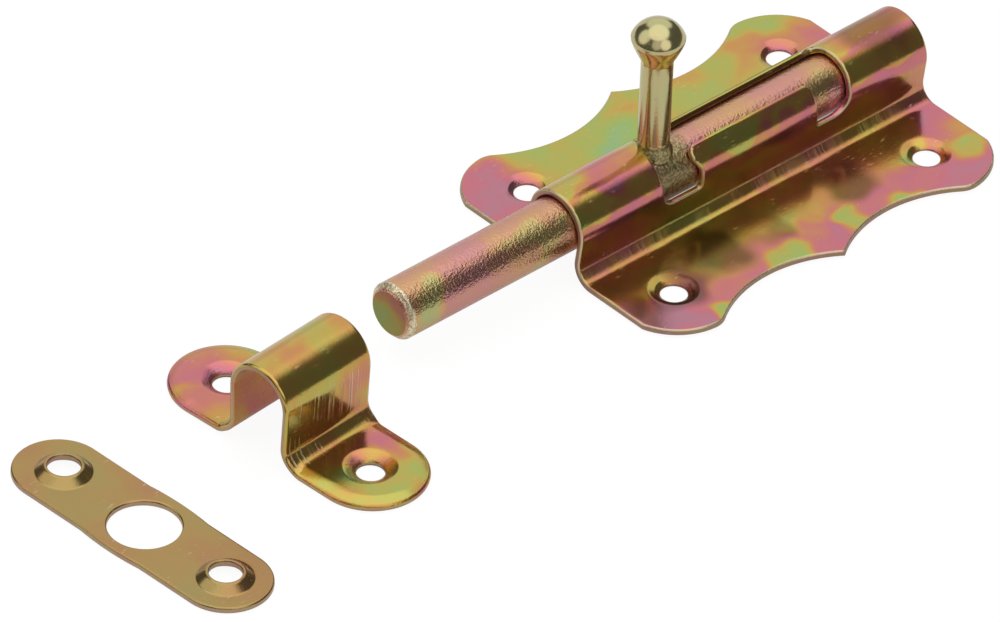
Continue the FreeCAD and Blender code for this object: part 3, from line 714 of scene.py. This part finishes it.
def press(bm, bend):
    """Lays each vertex of the blank along the bend, and notes where the tool drew the sheet."""
    along, drawn, under = (bm.verts.layers.float.new(name) for name in ("along", "drawn", "under"))
    over, wall, foot = (run for run, turn in bend["runs"][:3])
    for vert in bm.verts:
        x, across, lift = vert.co
        vert[along] = x
        # From beyond the crown down to the flange, fading in and out over 2 mm.
        shares = (abs(across) - over * 0.8) / 2, (over + wall + foot - abs(across)) / 2
        vert[drawn] = min(1.0, max(0.0, min(shares))) if lift > 0 else 0.0
        vert[under] = 1.0 if lift < 0 else 0.0
        y, z, heading = follow(bend, abs(across))
        out = y - lift * math.sin(heading)
        vert.co = (x, math.copysign(out, across), z + lift * math.cos(heading))


housing_bend = arch(crown=17.85, foot_level=0.95, round_radius=6.95, foot_radius=4.05, lean=7.0)
print("the flange starts", [round(value, 2) for value in foot_reach(housing_bend)], "mm out")

# %% [markdown]
# ## Thickness and holes
# A blank gets its thickness by solidify, with a narrow band of faces kept beside every rim, so
# that the flat metal stays flat in the reflections and only the rim looks round. A screw hole is
# pressed, so it isn't a plain bore: it is turned from a short profile and sewn into a round
# opening in the blank.

# %% Give a blank its body
SHEET = 1.3


def open_circle(bm, place, radius, segments=64):
    """Draws a round opening on the flat blank."""
    spot = Matrix.Translation((*place, 0))
    bmesh.ops.create_circle(bm, segments=segments, radius=radius, matrix=spot, cap_ends=False)


def fill_blank(bm, band):
    """Fills the open outlines and leaves a narrow band of faces along every rim."""
    bmesh.ops.triangle_fill(bm, use_beauty=True, use_dissolve=False, edges=bm.edges[:])
    bmesh.ops.recalc_face_normals(bm, faces=bm.faces[:])
    if sum(face.normal.z for face in bm.faces) < 0:
        bmesh.ops.reverse_faces(bm, faces=bm.faces[:])
    bmesh.ops.inset_region(
        bm, faces=bm.faces[:], use_boundary=True, use_even_offset=True, thickness=band, depth=0
    )


def thicken(bm, thickness):
    """Gives the blank its sheet thickness, half of it to each side."""
    bmesh.ops.solidify(bm, geom=bm.faces[:], thickness=thickness)
    low = min(vert.co.z for vert in bm.verts)
    bmesh.ops.translate(bm, verts=bm.verts[:], vec=(0, 0, -low - thickness / 2))


def turn_round(bm, geometry, centre, axis, steps):
    """Turns a profile once round an axis, as on a lathe, and closes the seam."""
    bmesh.ops.spin(
        bm, geom=geometry, cent=centre, axis=axis, angle=math.tau, steps=steps, use_merge=True
    )


def turn_profile(bm, corners, place, steps=64, step=12.0):
    """Turns a profile of (radius, height, corner radius) about the upright at a place."""
    old = set(bm.verts)
    draw(bm, corners, closed=False, step=step)
    chain = [vert for vert in bm.verts if vert not in old]
    for vert in chain:
        vert.co = (place[0] + vert.co.x, place[1], vert.co.y)
    edges = [edge for edge in bm.edges if edge.verts[0] not in old]
    turn_round(bm, [*chain, *edges], (*place, 0), (0, 0, 1), steps)


def sew_hole(bm, place, radius, corners):
    """Opens the round wall at a place and sews a turned hole into it."""
    wall = [
        face
        for face in bm.faces
        if abs(face.normal.z) < 0.5
        and abs(math.dist(face.calc_center_median()[:2], place) - radius) < 0.2
    ]
    bmesh.ops.delete(bm, geom=wall, context="FACES")
    turn_profile(bm, corners, place)
    bmesh.ops.remove_doubles(bm, verts=bm.verts[:], dist=0.01)


print("the sheet is", SHEET, "mm thick")

# %% [markdown]
# ## Rims
# Shearing rolls a sheet's upper edge round and leaves the lower one sharper. The rims are
# bevelled while the blank is still flat, where they are easy to tell from the bends. Then each
# kind of rim gets a finish of its own, by where its faces lie and which way they look.

# %% Round and mark the rims
CUT, SHADED, WORN = 1, 2, 3  # places in a piece's row of materials, after the film at 0
UPRIGHT, LEVEL = 0.45, 0.93  # a face whose normal rises less is a wall, and more is flat
BAR_SHADE = (-22, 24, 3.3, 4.0)  # from and to in x, then in y
UNWORN = [(-22, 22, 3, 5), (-14, 15, -5, 0)]  # the window's long edges


def round_rims(bm, upper, lower):
    """Rounds the sheared rims: more on the side that the punch rolled in."""
    bmesh.ops.recalc_face_normals(bm, faces=bm.faces[:])
    for height, width, segments in ((1, upper, 4), (-1, lower, 3)):
        rims = [
            edge
            for edge in bm.edges
            if len(edge.link_faces) == 2
            and edge.calc_face_angle() > math.radians(60)
            and all(vert.co.z * height > 0 for vert in edge.verts)
        ]
        bmesh.ops.bevel(
            bm,
            geom=rims,
            offset=width,
            offset_type="OFFSET",
            segments=segments,
            profile=0.5,
            affect="EDGES",
            material=-1,
        )


def within(centre, box):
    """Whether a point lies in a box of x and y."""
    return box[0] < centre.x < box[1] and box[2] < centre.y < box[3]


def mark_cut_faces(bm, beyond_x=0.0, beyond_y=0.0):
    """Marks the walls beyond a distance from the middle as cut."""
    for face in bm.faces:
        centre = face.calc_center_median()
        outer = abs(centre.x) > beyond_x or abs(centre.y) > beyond_y
        face.material_index = CUT if outer and abs(face.normal.z) < UPRIGHT else 0


def mark_worn_rim(bm, places, reach):
    """Marks the rounded upper rim, rubbed pale in handling, but none of the screw holes."""
    for face in bm.faces:
        centre = face.calc_center_median()
        rounded = UPRIGHT <= face.normal.z < LEVEL and centre.z > 0
        sunk = any(math.dist(centre[:2], place) < reach for place in places)
        if rounded and not sunk and not any(within(centre, box) for box in UNWORN):
            face.material_index = WORN


def mark_shaded_edge(bm):
    """Marks the window's far long edge, which the bar shades."""
    for face in bm.faces:
        if within(face.calc_center_median(), BAR_SHADE) and abs(face.normal.z) < 0.97:
            face.material_index = SHADED


print("cut, shaded and worn rims are materials", (CUT, SHADED, WORN))

# %% [markdown]
# ## Into the scene
# A finished piece is scaled from millimetres to metres and put on the body that carries it, in
# place of the plain solid. Its vertices already stand where they belong, so the object itself is
# never moved, turned or scaled.


# %% Hand a piece over
def lay_down(bm, place, turn):
    """Turns and moves a loose piece to where it lies on the table."""
    spot = Matrix.Translation(place) @ Matrix.Rotation(math.radians(turn), 4, "Z")
    bmesh.ops.transform(bm, matrix=spot, verts=bm.verts[:])


def put_in_scene(bm, name, materials, body, node):
    """Turns a finished bmesh in millimetres into a piece that rides on its body."""
    bmesh.ops.scale(bm, vec=(MM, MM, MM), verts=bm.verts[:])
    mesh = bpy.data.meshes.new(name)
    bm.to_mesh(mesh)
    bm.free()
    mesh.polygons.foreach_set("use_smooth", [True] * len(mesh.polygons))
    for material in materials:
        mesh.materials.append(material)
    piece = bpy.data.objects.new(name, mesh)
    bpy.context.scene.collection.objects.link(piece)
    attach(piece, body)
    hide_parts(node)
    print(name, len(mesh.polygons), "faces")


# %% [markdown]
# ## The plate's blank
# The real plate has four round lobes with a shallow scallop between each two. One quarter of the
# outline is drawn and mirrored twice, so that both halves match. The bayonet window is drawn on
# the flat too, as it is punched, with a notch at each end and the tongue between them.

# %% Draw the plate's blank
PLATE_DISH = 5.7
WINDOW = [
    (-21.8, 3.96, 0.7),
    (25.5, 3.96, 3.4),
    (25.7, -5.0, 6.0),
    (24.9, -13.2, 4.0),
    (16.8, -13.2, 0.8),
    (16.8, -3.85, 1.8),
    (-15.7, -3.75, 2.2),
    (-15.5, -6.6, 1.2),
    (-14.1, -9.2, 1.2),
    (-14.1, -13.2, 0.8),
    (-23.9, -13.2, 3.0),
    (-24.4, -7.0, 8.0),
    (-24.1, -2.0, 8.0),
]


def draw_plate_blank(bm, spread):
    """The outline and the openings of the flat blank; spread is what the bend takes up."""
    half, screw, lobe, blend = 46.2, (33.75, 21.0 + spread), 13.2, 5.0
    scallop, hollow = 28.0, (16.0, 56.6 + spread)
    corner = (half, screw[1] + math.sqrt(lobe**2 - (half - screw[0]) ** 2))
    turn = circle_meeting(screw, lobe - blend, hollow, scallop + blend)
    cusp = (0, hollow[1] - math.sqrt(scallop**2 - hollow[0] ** 2))
    vert = bm.verts.new((*cusp, 0))
    vert = arc_to(bm, vert, hollow, towards(hollow, turn, scallop), 1, 2.0)
    vert = arc_to(bm, vert, turn, towards(screw, turn, lobe), -1, 5.0)
    vert = arc_to(bm, vert, screw, corner, -1, 5.0)
    line_to(bm, vert, half, 0)
    for axis in "YX":
        bmesh.ops.mirror(bm, geom=[*bm.verts, *bm.edges], axis=axis, merge_dist=0.001)
    bmesh.ops.remove_doubles(bm, verts=bm.verts[:], dist=0.001)
    draw(bm, WINDOW)
    places = [(along * screw[0], across * screw[1]) for along in (-1, 1) for across in (-1, 1)]
    for place in places:
        open_circle(bm, place, PLATE_DISH)
    return places


# %% [markdown]
# ## The bolt plate
# The blank gets its thickness, its dished screw holes and its rounded rims while it is flat, and
# is then bent over the tube, window and all. Bending last is the press shop's own order, and the
# window's rim follows the bend by itself.

# %% Press the plate
PLATE_HOLE = [  # radius, height, corner radius
    (PLATE_DISH, 0.65, 0),
    (5.05, 0.62, 1.6),
    (3.75, 0.23, 1.2),
    (2.78, -0.50, 0.35),
    (2.70, -0.78, 0.1),
    (2.85, -0.95, 0.1),
    (3.65, -0.95, 0.3),
    (4.30, -0.65, 0.3),
    (PLATE_DISH, -0.65, 0),
]


def make_bolt_plate():
    """The screwed plate with its half-tube."""
    length, reach = foot_reach(housing_bend)
    bm = bmesh.new()
    places = draw_plate_blank(bm, length - reach)
    fill_blank(bm, band=0.7)
    score(bm, housing_bend)
    thicken(bm, SHEET)
    for place in places:
        sew_hole(bm, place, PLATE_DISH, PLATE_HOLE)
    round_rims(bm, upper=0.55, lower=0.3)
    mark_cut_faces(bm, beyond_x=45.9, beyond_y=length)
    mark_worn_rim(bm, places, PLATE_DISH + 0.1)
    mark_shaded_edge(bm)
    press(bm, housing_bend)
    bmesh.ops.recalc_face_normals(bm, faces=bm.faces[:])
    materials = [plate_zinc, plate_edge, shaded_edge, worn_rim]
    put_in_scene(bm, "pressed_plate", materials, "base", "bolt_plate")


make_bolt_plate()

# %% [markdown]
# ## Growing the keeper's ears
# The keeper is a narrow strip whose rim is turned down all round each ear, so that it stands on
# its edge. The strip's core is drawn first and rings of faces are grown out of its edge, because
# they then run along the rim. The rings are lowered by how near they are to the rim, and the cut
# face leans inwards with them.

# %% Turn the rim down
EAR_BEFORE, EAR_RUN = 2.5, 3.5  # where the slope sets in before the flange, and over how far
RIM_CURVE = 1.4  # the power by which the slope steepens towards the rim
TILT_SHARE = 0.85  # how far the cut face leans with the slope


def soft_step(value):
    """0 below 0, 1 above 1 and a smooth rise between."""
    value = min(1.0, max(0.0, value))
    return value * value * (3 - 2 * value)


def near_hole(edge, end_place, radius):
    """Whether an edge is on the rim of a screw's opening."""
    vert = edge.verts[0].co
    return math.dist((vert.x, abs(vert.y)), (0, end_place)) < radius


def from_middle(vert, end_place):
    """The vector to a vertex from the nearest point of the strip's middle line."""
    return vert.co - Vector((0, min(end_place, max(-end_place, vert.co.y)), vert.co.z))


def grow_rings(bm, end_place, hole, widths):
    """Grows rings of faces outwards from the strip's outline, away from its middle line."""
    rim = [edge for edge in bm.edges if edge.is_boundary and not near_hole(edge, end_place, hole)]
    for width in widths:
        grown = bmesh.ops.extrude_edge_only(bm, edges=rim)["geom"]
        rim = [item for item in grown if isinstance(item, bmesh.types.BMEdge) and item.is_boundary]
        for vert in (item for item in grown if isinstance(item, bmesh.types.BMVert)):
            vert.co += from_middle(vert, end_place).normalized() * width


def turn_down_rim(bm, half_width, end_place, flange_start, width, drop):
    """Lowers the ears' rim, where the strip isn't part of the arch, and tilts its cut face."""
    top = max(vert.co.z for vert in bm.verts)
    for vert in bm.verts:
        outwards = from_middle(vert, end_place)
        ear = soft_step((abs(vert.co.y) - flange_start + EAR_BEFORE) / EAR_RUN)
        share = max(0.0, 1 - (half_width - outwards.length) / width)
        if share:
            slope = RIM_CURVE * drop / width * share ** (RIM_CURVE - 1) * ear
            vert.co -= outwards.normalized() * slope * (top - vert.co.z) * TILT_SHARE
            vert.co.z -= drop * share**RIM_CURVE * ear


print("half way down the slope the rim is lowered by", round(soft_step(0.5), 2))

# %% [markdown]
# ## The keeper
# The grown strip is bent over a wider and taller arch than the plate's, because the bolt has to
# find its way into it. Its screw holes are dished deeper, down to the level of the turned rim.

# %% Press the keeper
EAR_DISH = 5.9
EAR_HOLE = [
    (EAR_DISH, 0.65, 0),
    (5.3, 0.62, 2.0),
    (3.3, -0.35, 1.6),
    (2.87, -0.95, 0.6),
    (2.87, -1.15, 0.1),
    (3.10, -1.30, 0.1),
    (4.0, -1.10, 0.6),
    (5.0, -0.65, 0.6),
    (EAR_DISH, -0.65, 0),
]
keeper_bend = arch(crown=20.95, foot_level=1.65, round_radius=7.05, foot_radius=4.05, lean=2.0)


def make_keeper():
    """The arched strip with dished ears, at its place beside the plate."""
    length, reach = foot_reach(keeper_bend)
    half_width, end_place = 11.8, 19.1 + length - reach
    rings = [0.35, 0.35, 0.35, 0.35, 0.35, 0.40, 0.85]
    core = half_width - sum(rings)
    bm = bmesh.new()
    vert = bm.verts.new((core, -end_place, 0))
    vert = line_to(bm, vert, core, end_place)
    vert = arc_to(bm, vert, (0, end_place), (-core, end_place), 1)
    vert = line_to(bm, vert, -core, -end_place)
    arc_to(bm, vert, (0, -end_place), (core, -end_place), 1)
    bmesh.ops.remove_doubles(bm, verts=bm.verts[:], dist=0.001)
    places = [(0, end_place), (0, -end_place)]
    for place in places:
        open_circle(bm, place, EAR_DISH)
    fill_blank(bm, band=0.3)
    grow_rings(bm, end_place, EAR_DISH + 0.1, rings)
    score(bm, keeper_bend)
    thicken(bm, SHEET)
    for place in places:
        sew_hole(bm, place, EAR_DISH, EAR_HOLE)
    round_rims(bm, upper=0.70, lower=0.35)
    mark_cut_faces(bm)
    turn_down_rim(bm, half_width, end_place, length, width=3.0, drop=1.0)
    press(bm, keeper_bend)
    bmesh.ops.recalc_face_normals(bm, faces=bm.faces[:])
    lay_down(bm, (-118.1, -5.9, 0), 4.2)
    materials = [keeper_zinc, cut_edge]
    put_in_scene(bm, "pressed_keeper", materials, "base", "keeper")


make_keeper()

# %% [markdown]
# ## The strike plate
# The strike plate is a flat strip with round ends and a large hole for the bolt, a touch wider
# there. It lies on its face, so the two screw sinks stand up like small cones. Each cone is a
# profile turned about the screw and sewn into a round opening of the strip.

# %% Cut the strike plate
CONE_FOOT, BOLT_HOLE = 6.2, 7.25
SCREW_CONE = [
    (CONE_FOOT, 0.65, 0),
    (5.7, 0.68, 0.8),
    (4.05, 2.10, 0.7),
    (3.75, 2.25, 0.3),
    (3.35, 2.22, 0.2),
    (3.25, 1.95, 0.2),
    (3.30, 0.95, 0.6),
    (5.10, -0.60, 0.3),
    (5.25, -0.65, 0.1),
    (CONE_FOOT, -0.65, 0),
]


def make_strike_plate():
    """The flat strip with two raised screw cones, back side up."""
    half_width, bulge, waist = 9.3, 9.8, 8.0
    screw, margin, shift = 22.1, 0.7, 0.6
    far, near = screw + margin + shift, screw + margin - shift
    rise = bulge - half_width
    swell = (waist**2 + rise**2) / (2 * rise)
    bm = bmesh.new()
    vert = bm.verts.new((0, -near - half_width, 0))
    vert = arc_to(bm, vert, (0, -near), (half_width, -near), 1)
    vert = line_to(bm, vert, half_width, -waist)
    vert = arc_to(bm, vert, (bulge - swell, 0), (half_width, waist), 1, 1.0)
    vert = line_to(bm, vert, half_width, far)
    arc_to(bm, vert, (0, far), (0, far + half_width), 1)
    bmesh.ops.mirror(bm, geom=[*bm.verts, *bm.edges], axis="X", merge_dist=0.001)
    open_circle(bm, (0, 0), BOLT_HOLE, segments=96)
    places = [(0, screw), (0, -screw)]
    for place in places:
        open_circle(bm, place, CONE_FOOT)
    fill_blank(bm, band=0.5)
    thicken(bm, SHEET)
    for place in places:
        sew_hole(bm, place, CONE_FOOT, SCREW_CONE)
    round_rims(bm, upper=0.45, lower=0.3)
    mark_cut_faces(bm)
    bmesh.ops.recalc_face_normals(bm, faces=bm.faces[:])
    lay_down(bm, (-161.0, -9.6, SHEET / 2), 2.5)
    materials = [strike_zinc, cut_edge]
    put_in_scene(bm, "punched_strike", materials, "base", "strike_plate")


make_strike_plate()

# %% [markdown]
# ## The round bolt
# The bolt is a cut length of round bar with a turned chamfer. Its profile is drawn as half a
# section and turned about its own axis, which rounds the chamfer's two edges as well. Its two
# sawn ends get the duller finish, darkened with painted shade.

# %% Turn the bolt
AXIS_HEIGHT, BAR_RADIUS = 10.9, 6.0
LATHE_STEPS = 96


def make_bolt_bar():
    """The round bar with a chamfer at each end, lying along X."""
    front, rear = -89.7, 31.3
    corners = [
        (front, 0, 0),
        (front, 4.75, 0.3),
        (front + 1.2, BAR_RADIUS, 0.35),
        (rear - 0.6, BAR_RADIUS, 0.3),
        (rear, 5.4, 0.2),
        (rear, 0, 0),
    ]
    bm = bmesh.new()
    draw(bm, corners, closed=False)
    turn_round(bm, [*bm.verts, *bm.edges], (0, 0, 0), (1, 0, 0), LATHE_STEPS)
    bmesh.ops.remove_doubles(bm, verts=bm.verts[:], dist=0.0001)
    bmesh.ops.recalc_face_normals(bm, faces=bm.faces[:])
    # The sawn ends take the finish that is darkened with painted shade.
    for face in bm.faces:
        face.material_index = CUT if abs(face.normal.x) > 0.95 else 0
    bmesh.ops.translate(bm, verts=bm.verts[:], vec=(0, 0, AXIS_HEIGHT))
    put_in_scene(bm, "turned_bar", [bar_zinc, shaded_bar_end], "bolt", "bolt_bar")


make_bolt_bar()

# %% [markdown]
# ## The knob
# The knob is a headed pin welded to the bar. The head's profile is turned like the bar's. The
# weld is what makes it look real: its foot follows the bar's round, and the bead round it is
# uneven, so the lowest rings are laid on the bar and pushed about by a little noise.

# %% Turn the knob
KNOB_PLACE = -20.7
STEM, FOOT, BEAD_HEIGHT = 3.2, 3.9, 1.9
HEAD_TOP, HEAD_WIDE, HEAD_RADIUS = 37.1, 33.4, 5.4
HEAD = [(3.32, 28.2), (4.3, 30.2), (4.95, 31.7), (5.3, 32.7), (HEAD_RADIUS, HEAD_WIDE)]


def draw_pin(bm):
    """Half a section of the pin, from the bar's crown up to the top of the dome."""
    vert = bm.verts.new((0.0, BAR_RADIUS, 0))
    for number in range(1, 5):
        vert = line_to(bm, vert, FOOT * number / 4, BAR_RADIUS)
    for number in range(1, 11):
        share = number / 10
        radius = FOOT + (STEM - FOOT) * soft_step(share)
        vert = line_to(bm, vert, radius, BAR_RADIUS + BEAD_HEIGHT * share)
    for height in (9.0, 14.0, 20.0, 25.0, 27.6):
        vert = line_to(bm, vert, STEM, height)
    for radius, height in HEAD:
        vert = line_to(bm, vert, radius, height)
    rise = HEAD_TOP - HEAD_WIDE
    dome = (HEAD_RADIUS**2 + rise**2) / (2 * rise)
    arc_to(bm, vert, (0, HEAD_TOP - dome), (0, HEAD_TOP), 1, 4.0)
    for each in bm.verts:
        each.co = (each.co.x, 0, each.co.y)


def seat_pin(bm, clearance=0.06, reach=2.2, unevenness=0.5):
    """Lays the foot on the bar's round and makes the bead uneven."""
    for each in bm.verts:
        x, y, z = each.co
        low = 1 - soft_step((z - BAR_RADIUS) / reach)
        out = math.hypot(x, y)
        if low and out > 0.1:
            lump = noise.noise(Vector((x, y, z)) * 1.4) * unevenness * low
            lump *= soft_step((z - BAR_RADIUS) / 0.4)
            each.co.x += x / out * lump
            each.co.y += y / out * lump
        saddle = math.sqrt(max(0.0, (BAR_RADIUS + clearance) ** 2 - each.co.y**2))
        each.co.z = z - (BAR_RADIUS - saddle) * low


def make_knob():
    """The headed pin, upright on the bar."""
    bm = bmesh.new()
    draw_pin(bm)
    turn_round(bm, [*bm.verts, *bm.edges], (0, 0, 0), (0, 0, 1), LATHE_STEPS)
    bmesh.ops.remove_doubles(bm, verts=bm.verts[:], dist=0.0001)
    bmesh.ops.recalc_face_normals(bm, faces=bm.faces[:])
    seat_pin(bm)
    bmesh.ops.translate(bm, verts=bm.verts[:], vec=(KNOB_PLACE, 0, AXIS_HEIGHT))
    put_in_scene(bm, "headed_pin", [knob_zinc], "turn_knob", "knob")


make_knob()
